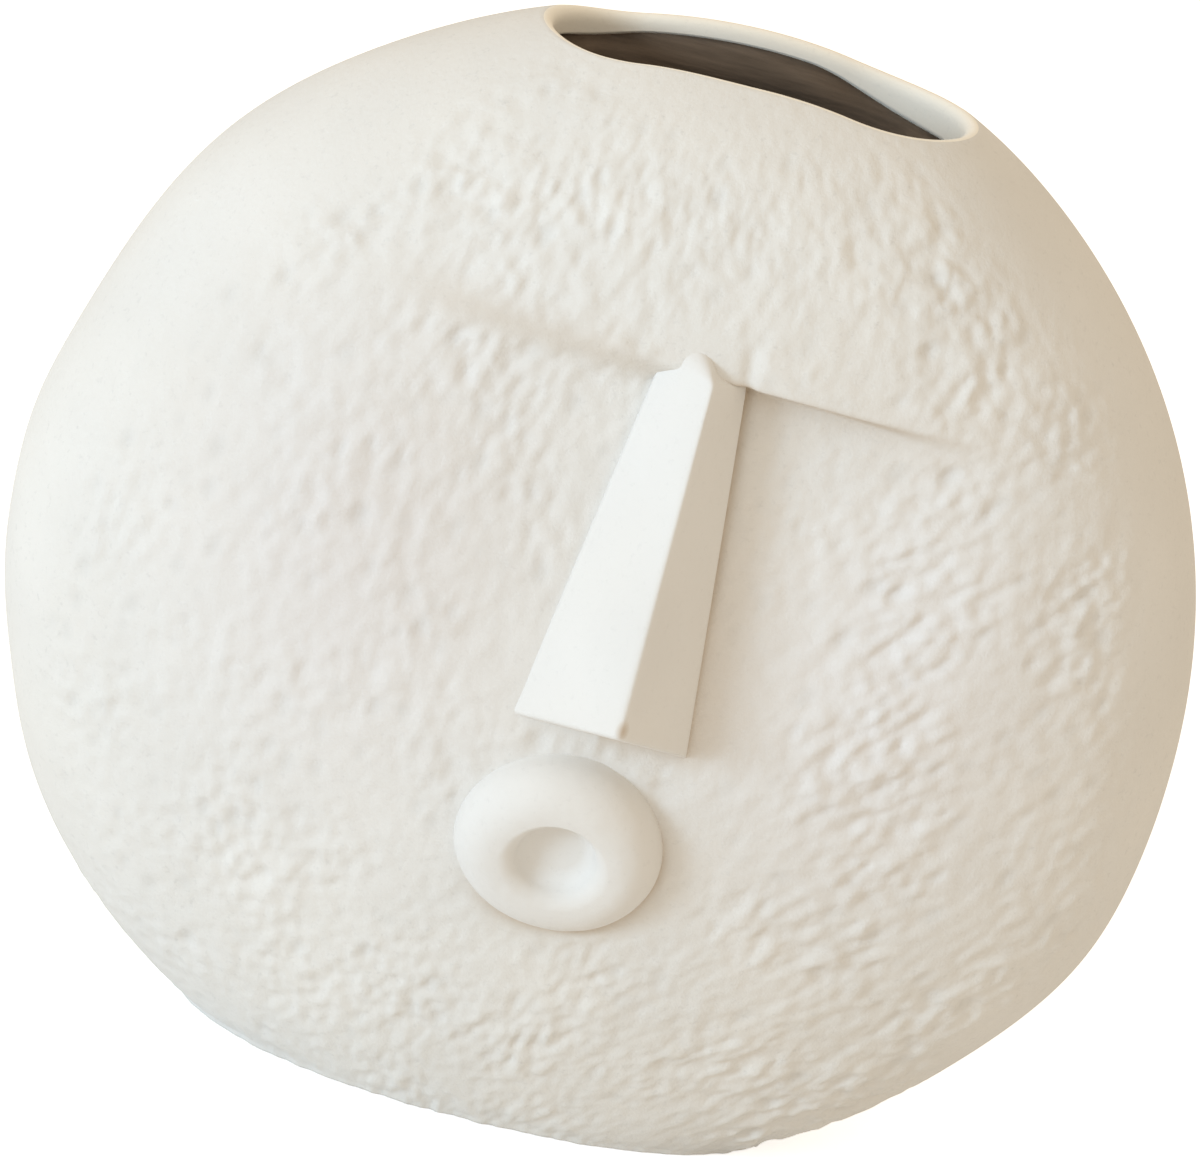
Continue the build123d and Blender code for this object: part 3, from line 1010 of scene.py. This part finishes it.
def foot_solid(body, face, clay):
    """Closed foot: its points, its sets of faces, its layers and its normals at the joint.

    The wall carries the skin of both halves on downwards, and its edge turns in over a quarter circle.
    The rings of the top and of the underside are the wall's outline drawn in by shares.
    """
    wall_rows = 12
    round_steps = 6
    top_shares = np.array([0.4, 0.8])
    floor_shares = np.array([0.92, 0.7, 0.4])
    rounding = body.foot_round
    levels = np.linspace(body.foot_thickness, rounding, wall_rows)
    sides = []
    joint = []
    for side, columns in ((-1, body.front_columns), (1, body.back_columns)):
        turns = column_turns(columns)[::-side][:-1]
        x = outline_half_width(body, levels)[:, None] * np.sin(turns)[None, :]
        z = np.repeat(levels[:, None], len(turns), axis=1)
        skin = np.stack([x, side * skin_depth(body, x, z), z], axis=-1)
        sides.append(roughened(body, face, clay, skin, side))
        joint.append(skin_facing(body, face, clay, x[0], z[0], side))
    wall = np.concatenate([points for points, _ in sides], axis=1)
    dents = np.concatenate([values for _, values in sides], axis=1)
    flat = np.array([1.0, 1.0, 0.0])
    turn = np.linspace(0.0, math.pi / 2, round_steps)[1:]
    reach = np.linalg.norm(wall[-1] * flat, axis=-1)
    shrink = 1.0 - rounding * (1.0 - np.cos(turn))[:, None] / reach[None, :]
    under = wall[-1][None] * flat * shrink[..., None]
    under[..., 2] = rounding * (1.0 - np.sin(turn))[:, None]
    floor = under[-1][None] * floor_shares[:, None, None]
    top = wall[0][None] * flat * top_shares[:, None, None]
    top[..., 2] = body.foot_thickness
    rings = np.concatenate([top, wall, under, floor])
    points, faces = ring_solid(rings, [0.0, 0.0, body.foot_thickness], [0.0, 0.0, 0.0])
    columns = rings.shape[1]
    before = np.zeros((len(top), columns))
    after = np.zeros((len(under) + len(floor), columns))
    dents = np.concatenate([np.concatenate([before, dents, after]).ravel(), [0.0, 0.0]])
    facing = np.zeros_like(points)
    first = len(top) * columns
    facing[first:first + columns] = np.concatenate(joint)
    return hand_shaped(body, points), faces, [("dents", dents)], facing


class VASE_OT_foot(Operator):
    """Make the foot slab, which carries the skin of the halves down to the flat underside"""

    bl_idname = "vase.foot"
    bl_label = "Foot slab"

    def execute(self, context):
        scene = context.scene
        points, faces, layers, facing = foot_solid(scene.vase_body, scene.vase_face, scene.vase_clay)
        add_piece("foot", points, faces, [rough_clay(scene)], "base_slab", layers, facing)
        return {"FINISHED"}


def lip_solid(body, face, clay):
    """Closed lip: its points, its sets of faces, its layers and its normals at the joint.

    A profile is carried round the slot: in along the skin of the crown, down over a quarter circle and
    the cut edge, and out again below. Its margin is the distance from the slot's outline, and its inset
    the depth below the crown.
    """
    columns = 360
    top_rows = 12
    round_steps = 8
    cut_rows = 8
    under_shares = np.array([0.3, 0.7, 1.0])
    theta = np.linspace(0.0, 2 * math.pi, columns, endpoint=False)
    rounding = body.lip_round
    top = np.linspace(body.lip_band, rounding, top_rows)
    turn = np.linspace(0.0, math.pi / 2, round_steps)[1:]
    cut = np.linspace(0.0, 1.0, cut_rows)[1:]
    under = body.lip_band * under_shares
    margin = np.concatenate([top, rounding * (1.0 - np.sin(turn)), np.zeros_like(cut), under])
    flat = np.zeros_like(top)
    round_share = np.concatenate([flat, 1.0 - np.cos(turn), 1.0 - cut, np.zeros_like(under)])
    cut_share = np.concatenate([flat, np.zeros_like(turn), cut, np.ones_like(under)])
    along = slot_reach(body, np.cos(theta)[None, :], margin[:, None])
    side = np.where(theta < math.pi, 1.0, -1.0)[None, :]
    y = side * slot_depth(body, along, margin[:, None], side)
    y[:, np.isclose(np.abs(np.cos(theta)), 1.0)] = 0.0
    x = body.slot_centre + along
    inset = rounding * round_share[:, None] + lip_depth(body, x) * cut_share[:, None]
    z = crown_level(body, x, y, inset)
    points = np.stack([x, y, z], axis=-1)
    dents = np.zeros_like(x)
    facing = np.zeros_like(points)
    band = slice(0, len(top))
    for half in (-1, 1):
        chosen = side[0] == half
        skin, skin_dents = roughened(body, face, clay, points[band, chosen], half)
        points[band, chosen] = skin
        dents[band, chosen] = skin_dents
        facing[0, chosen] = skin_facing(body, face, clay, x[0, chosen], z[0, chosen], half)
    faces = grid_faces(len(margin), columns, close_rows=True, close_columns=True)
    on_top = np.repeat(np.arange(len(margin)) < len(top), columns)
    face_sets = [(faces[on_top], 0), (faces[~on_top], 1)]
    return hand_shaped(body, points), face_sets, [("dents", dents)], facing


class VASE_OT_lip(Operator):
    """Make the lip round the stem slot, with a rounded inner edge"""

    bl_idname = "vase.lip"
    bl_label = "Slot lip"

    def execute(self, context):
        scene = context.scene
        clay = scene.vase_clay
        points, faces, layers, facing = lip_solid(scene.vase_body, scene.vase_face, clay)
        # The cut edge's paler, warmer colour is painted light; its smoother finish is the clay's own
        cut_clay = clay_material(
            "lip_clay", clay.lit_lip_colour, cloud=0.02, speckle=0.25, grain=0.15, roughness=0.74
        )
        materials = [rough_clay(scene), cut_clay]
        add_piece("slot_lip", points, faces, materials, "rim_collar", layers, facing)
        return {"FINISHED"}


def blurred(grid, passes):
    """Grid with each inner row drawn halfway to the mean of its neighbours, some times over."""
    for _ in range(passes):
        mean = (grid[:-2] + grid[2:]) / 2
        grid = np.concatenate([grid[:1], (grid[1:-1] + mean) / 2, grid[-1:]])
    return grid


def face_axes(face):
    """Directions up along the pressed face and out of it."""
    up = np.array([0.0, math.sin(face.lean), math.cos(face.lean)])
    out = np.array([0.0, -math.cos(face.lean), math.sin(face.lean)])
    return up, out


def nose_section(face, end, place):
    """Section across the nose at its lower or upper end, for places from -1 to 1.

    The left root is at -1, the ridge at 0 and the right root at 1. Both sides are straight and meet in a
    softened ridge. Past the roots they drop steeply into the face.
    """
    soft = 0.05
    drop = 1.6
    centre = getattr(face, f"nose_{end}_centre")
    width = getattr(face, f"nose_{end}_width")
    ridge = getattr(face, f"nose_{end}_ridge")
    height = getattr(face, f"nose_{end}_height")
    spread = np.minimum(np.abs(place), NOSE_ROOT)
    rise = height * (1.0 - np.sqrt(spread**2 + soft**2)) / (1.0 - soft)
    rise = rise - drop * height * (np.abs(place) - spread)
    aside = centre + ridge * (1.0 - spread) + width / 2 * np.sign(place) * spread
    return ACROSS * aside[:, None] + face_axes(face)[1] * rise[:, None]


def softened(grid, under_rows, side_rows):
    """Grid of the nose with its lower edge rounded a little, and far more from the brow upwards."""
    edge_passes = 3
    upward_passes = 16
    sideways_passes = 6
    grid = blurred(grid, edge_passes)
    softer = blurred(blurred(grid, upward_passes).swapaxes(0, 1), sideways_passes).swapaxes(0, 1)
    row = np.arange(len(grid)) - under_rows
    at_brow = smooth_step(0.92 * side_rows, 1.04 * side_rows, row)[:, None, None]
    return grid + (softer - grid) * at_brow


def nose_solid(body, face):
    """Closed nose: its points, its sets of faces and the tip of its lower edge.

    Its sides are straight lines from the lower section to the upper one, from a slanting cut below up to
    the brow. The underside runs back along that cut. Above the brow the sides sink into the skin as a
    soft end, and a fan to a hidden point closes the back.
    """
    columns = 105
    under_rows = 24
    side_rows = 100
    cap_rows = 30
    past_root = 1.2
    cap_least = 0.1
    cap_power = 1.6
    hidden_rise = 0.02
    hidden_depth = 0.006
    up, out = face_axes(face)
    brow = np.array([0.0, -face.brow_depth, face.brow_level])
    foot = brow - up * face.nose_length
    place = np.linspace(-past_root, past_root, columns)
    lower = nose_section(face, "lower", place)
    upper = nose_section(face, "upper", place)
    start = foot - out * face.nose_seat + lower
    along = up + (upper - lower) / face.nose_length
    undercut = np.array([0.0, math.sin(face.nose_undercut), math.cos(face.nose_undercut)])
    low = -(start - foot) @ undercut / (along @ undercut)
    high = face.nose_length + below_brow(face, upper[:, 0], face.brow_level)
    edge = start + along * low[:, None]
    back = np.array([0.0, math.cos(face.nose_undercut), -math.sin(face.nose_undercut)])
    behind = np.linspace(face.nose_under, 0.0, under_rows, endpoint=False)
    under = edge[None] + back * behind[:, None, None]
    share = np.linspace(0.0, 1.0, side_rows)[:, None, None]
    sides = start[None] + along[None] * (low[:, None] * (1.0 - share) + high[:, None] * share)
    brow_x, brow_y, brow_z = sides[-1].T
    proud = -brow_y - front_depth(body, face, brow_x, brow_z)
    share = np.linspace(0.0, 1.0, cap_rows)[1:, None]
    reach = face.nose_cap * (cap_least + (1.0 - cap_least) * window(place, *CAP_REACH))
    cap_x = brow_x - face.nose_cap_drift * share
    cap_z = brow_z + reach * share
    fading = proud * (1.0 - (proud > 0) * share**cap_power) - face.nose_cap_sink * share
    cap = np.stack([cap_x, -front_depth(body, face, cap_x, cap_z) - fading, cap_z], axis=-1)
    grid = softened(np.concatenate([under, sides, cap]), under_rows, side_rows)
    grid = grid + out * layered_noise(grid, NOSE_SWELL)[..., None]
    rows = len(grid)
    index = np.arange(rows * columns).reshape(rows, columns)
    loop = np.concatenate([index[0], index[1:, -1], index[-1, -2::-1], index[-2:0:-1, 0]])
    hidden = foot + up * hidden_rise - out * hidden_depth
    points = np.concatenate([grid.reshape(-1, 3), [hidden]])
    faces = [(grid_faces(rows, columns), 0), (fan_faces(loop[::-1], rows * columns), 0)]
    return points, faces, edge[columns // 2]


class VASE_OT_nose(Operator):
    """Make the nose: two flat sides, an undercut lower end and a soft end above the brow"""

    bl_idname = "vase.nose"
    bl_label = "Nose"

    def execute(self, context):
        scene = context.scene
        face = scene.vase_face
        clay = scene.vase_clay
        points, faces, tip = nose_solid(scene.vase_body, face)
        stain_offset = np.array([0.001, -0.0004, 0.0016])
        stain_reach = 0.0021
        shade_reach = 0.012
        tone = clay.smooth_colour
        up, _ = face_axes(face)
        marks = [
            (tuple(tip + stain_offset), stain_reach, clay.stain_colour, 0.75),
            # The second mark is painted shade: the lower part of the nose a little darker
            (tuple(tip + up * shade_reach), shade_reach, scaled(tone, 0.9), 0.3),
        ]
        material = clay_material(
            "nose_clay", tone, cloud=0.015, speckle=0.2, grain=0.12, roughness=0.72, marks=marks
        )
        add_piece("nose", points, faces, [material], "nose_ridge")
        return {"FINISHED"}


def mouth_profile(face):
    """Radius, height and inward share of the mouth's rings from root to dimple, and its floor's height.

    A straight side runs into a quarter circle, a narrow flat and an arc that falls inwards. From there
    the dish turns back to its level floor in an arc of its own.
    """
    outer_rows = 30
    inner_rows = 16
    dimple_rows = 24
    slope = face.dimple_slope
    crest = face.mouth_side + face.mouth_round
    outer = np.linspace(0.0, math.pi / 2, outer_rows)
    inner = np.linspace(0.0, slope, inner_rows)
    dimple = np.linspace(slope, 0.0, dimple_rows)[1:-1]
    dish = (face.dimple_radius - face.dimple_floor) / math.sin(slope)
    inner_start = face.mouth_radius - face.mouth_round - face.mouth_crest
    inner_round = (inner_start - face.dimple_radius) / math.sin(slope)
    edge = crest - inner_round * (1.0 - math.cos(slope))
    floor = edge - dish * (1.0 - math.cos(slope))
    root_radius = face.mouth_radius * np.array([0.4, 0.8, 1.0, 1.0, 1.0])
    root_height = face.mouth_root * np.array([-1.0, -1.0, -1.0, 0.0, 0.0])
    root_height[-1] = 0.6 * face.mouth_side
    radius = np.concatenate([
        root_radius,
        face.mouth_radius - face.mouth_round * (1.0 - np.cos(outer)),
        inner_start - inner_round * np.sin(inner),
        face.dimple_floor + dish * np.sin(dimple),
    ])
    height = np.concatenate([
        root_height,
        face.mouth_side + face.mouth_round * np.sin(outer),
        crest - inner_round * (1.0 - np.cos(inner)),
        floor + dish * (1.0 - np.cos(dimple)),
    ])
    inward = np.clip((inner_start - radius) / (inner_start - face.dimple_radius), 0.0, 1.0)
    inward[:len(root_radius) + len(outer)] = 0.0
    return radius, height, inward, floor


def mouth_solid(body, face):
    """Closed mouth: its points and its sets of faces.

    The profile is carried round an axis that looks down by the mouth's tilt. The rings are a little
    uneven, and towards the dimple they grow taller and move up.
    """
    columns = 220
    out = np.array([0.0, -math.cos(face.mouth_tilt), -math.sin(face.mouth_tilt)])
    rise = np.cross(out, ACROSS)
    skin = np.array([face.mouth_centre, 0.0, face.mouth_level])
    skin[1] = -float(skin_depth(body, face.mouth_centre, face.mouth_level))
    seat = skin - out * face.mouth_seat
    radius, height, inward, floor = mouth_profile(face)
    theta = np.linspace(0.0, 2 * math.pi, columns, endpoint=False)
    wobble = sum(strength * np.cos(waves * theta + start) for waves, strength, start in WOBBLES)
    spread = radius[:, None] * (1.0 + wobble[None, :])
    aside = spread * np.cos(theta)
    above = spread * np.sin(theta) * (1.0 + face.dimple_stretch * inward[:, None])
    above = above + face.dimple_shift * inward[:, None]
    rings = seat + ACROSS * aside[..., None] + rise * above[..., None] + out * height[:, None, None]
    rings = rings + out * layered_noise(rings, MOUTH_SWELL)[..., None]
    middle = seat + out * floor + rise * face.dimple_shift
    return ring_solid(rings, seat - out * face.mouth_root, middle)


class VASE_OT_mouth(Operator):
    """Make the mouth: a rounded ring with a dished middle, a little uneven as made by hand"""

    bl_idname = "vase.mouth"
    bl_label = "Mouth ring"

    def execute(self, context):
        scene = context.scene
        points, faces = mouth_solid(scene.vase_body, scene.vase_face)
        tone = scene.vase_clay.smooth_colour
        material = clay_material("mouth_clay", tone, cloud=0.015, speckle=0.2, grain=0.12, roughness=0.74)
        add_piece("mouth", points, faces, [material], "mouth_ring")
        return {"FINISHED"}


def camera_axes(stage):
    """Right, up and back of the camera: a turn round Z, a rise above the horizon and a roll."""
    turn = stage.azimuth
    rise = stage.elevation
    back = Vector((math.sin(turn) * math.cos(rise), -math.cos(turn) * math.cos(rise), math.sin(rise)))
    right = Vector((math.cos(turn), math.sin(turn), 0.0))
    up = back.cross(right)
    rolled_right = right * math.cos(stage.roll) + up * math.sin(stage.roll)
    rolled_up = up * math.cos(stage.roll) - right * math.sin(stage.roll)
    return rolled_right, rolled_up, back


def add_lamp(scene, stage, name, target):
    """Adds the square lamp of a name in the stage's settings, which shines at a target."""
    data = bpy.data.lights.new(name, "AREA")
    data.size = getattr(stage, f"{name}_size")
    data.energy = getattr(stage, f"{name}_power")
    data.color = getattr(stage, f"{name}_colour")
    place = Vector(getattr(stage, f"{name}_place"))
    lamp = bpy.data.objects.new(name, data)
    lamp.location = place
    lamp.rotation_mode = "QUATERNION"
    lamp.rotation_quaternion = (target - place).to_track_quat("-Z", "Y")
    scene.collection.objects.link(lamp)


def white_to_camera(tree, lit, strength):
    """Adds light that only the camera, mirrors and glass see, so that a lit surface looks white."""
    path = add_node(tree, "ShaderNodeLightPath")
    seen = add_node(tree, "ShaderNodeMath", operation="MAXIMUM")
    tree.links.new(path.outputs["Is Camera Ray"], seen.inputs[0])
    tree.links.new(path.outputs["Is Glossy Ray"], seen.inputs[1])
    through = add_node(tree, "ShaderNodeMath", operation="MAXIMUM")
    tree.links.new(seen.outputs[0], through.inputs[0])
    tree.links.new(path.outputs["Is Transmission Ray"], through.inputs[1])
    power = add_node(tree, "ShaderNodeMath", operation="MULTIPLY")
    power.inputs[1].default_value = strength
    tree.links.new(through.outputs[0], power.inputs[0])
    glow = add_node(tree, "ShaderNodeEmission")
    tree.links.new(power.outputs[0], glow.inputs["Strength"])
    both = add_node(tree, "ShaderNodeAddShader")
    tree.links.new(lit, both.inputs[0])
    tree.links.new(glow.outputs[0], both.inputs[1])
    return both.outputs[0]


def add_floor(scene, stage):
    """Adds the wide, level square that the vase stands on."""
    corners = np.array([[-1.0, -1.0, 0.0], [1.0, -1.0, 0.0], [1.0, 1.0, 0.0], [-1.0, 1.0, 0.0]])
    mesh = bpy.data.meshes.new("floor")
    mesh.from_pydata((corners * stage.floor_reach).tolist(), [], [(0, 1, 2, 3)])
    paper = bpy.data.materials.new("floor_paper")
    paper.use_nodes = True
    tree = paper.node_tree
    shader = tree.nodes["Principled BSDF"]
    shader.inputs["Base Color"].default_value = (*stage.floor_colour, 1.0)
    shader.inputs["Roughness"].default_value = 0.9
    shader.inputs["Specular IOR Level"].default_value = 0.1
    surface = tree.nodes["Material Output"].inputs["Surface"]
    tree.links.new(white_to_camera(tree, shader.outputs[0], stage.floor_white), surface)
    mesh.materials.append(paper)
    floor = bpy.data.objects.new("floor", mesh)
    scene.collection.objects.link(floor)


def add_sky(scene, stage):
    """Gives the scene a world of even light that looks white."""
    world = bpy.data.worlds.new("even_light")
    scene.world = world
    world.use_nodes = True
    tree = world.node_tree
    sky = tree.nodes["Background"]
    sky.inputs["Color"].default_value = (*stage.sky_colour, 1.0)
    sky.inputs["Strength"].default_value = stage.sky_strength
    surface = tree.nodes["World Output"].inputs["Surface"]
    tree.links.new(white_to_camera(tree, sky.outputs[0], stage.sky_white), surface)


def add_camera(scene, stage, target):
    """Adds the camera at its distance from a target, moved aside by the offsets."""
    right, up, back = camera_axes(stage)
    data = bpy.data.cameras.new("camera")
    data.sensor_fit = "HORIZONTAL"
    data.sensor_width = 36.0
    data.lens = stage.lens
    data.clip_start = 0.01
    data.clip_end = 50.0
    camera = bpy.data.objects.new("camera", data)
    place = target + back * stage.distance - right * stage.offset_x - up * stage.offset_y
    camera.matrix_world = Matrix.Translation(place) @ Matrix((right, up, back)).transposed().to_4x4()
    scene.collection.objects.link(camera)
    scene.camera = camera


class VASE_OT_stage(Operator):
    """Make the pale floor, the soft light and the camera"""

    bl_idname = "vase.stage"
    bl_label = "Stage"

    def execute(self, context):
        scene = context.scene
        stage = scene.vase_stage
        target = Vector((0.0, 0.0, stage.target_level))
        add_floor(scene, stage)
        add_sky(scene, stage)
        for name in ("key", "front"):
            add_lamp(scene, stage, name, target)
        add_camera(scene, stage, target)
        scene.view_settings.view_transform = "Standard"
        return {"FINISHED"}


STEPS = (VASE_OT_shells, VASE_OT_foot, VASE_OT_lip, VASE_OT_nose, VASE_OT_mouth, VASE_OT_stage)
GROUPS = (
    ("vase_body", VASE_PG_body),
    ("vase_face", VASE_PG_face),
    ("vase_clay", VASE_PG_clay),
    ("vase_stage", VASE_PG_stage),
)


class VASE_PT_build(Panel):
    """Lists the settings and the steps that build the vase"""

    bl_idname = "VASE_PT_build"
    bl_label = "Face vase"
    bl_space_type = "VIEW_3D"
    bl_region_type = "UI"
    bl_category = "Vase"

    def draw(self, context):
        for step in STEPS:
            self.layout.operator(step.bl_idname)
        for name, group in GROUPS:
            box = self.layout.box()
            box.label(text=group.__doc__)
            for setting in group.__annotations__:
                box.prop(getattr(context.scene, name), setting)


def register():
    for _, group in GROUPS:
        bpy.utils.register_class(group)
    for step in STEPS:
        bpy.utils.register_class(step)
    bpy.utils.register_class(VASE_PT_build)
    for name, group in GROUPS:
        setattr(bpy.types.Scene, name, PointerProperty(type=group))


def unregister():
    for name, _ in GROUPS:
        delattr(bpy.types.Scene, name)
    bpy.utils.unregister_class(VASE_PT_build)
    for step in reversed(STEPS):
        bpy.utils.unregister_class(step)
    for _, group in reversed(GROUPS):
        bpy.utils.unregister_class(group)


def main():
    register()
    bpy.ops.vase.shells()
    bpy.ops.vase.foot()
    bpy.ops.vase.lip()
    bpy.ops.vase.nose()
    bpy.ops.vase.mouth()
    bpy.ops.vase.stage()


if __name__ == "__main__":
    main()
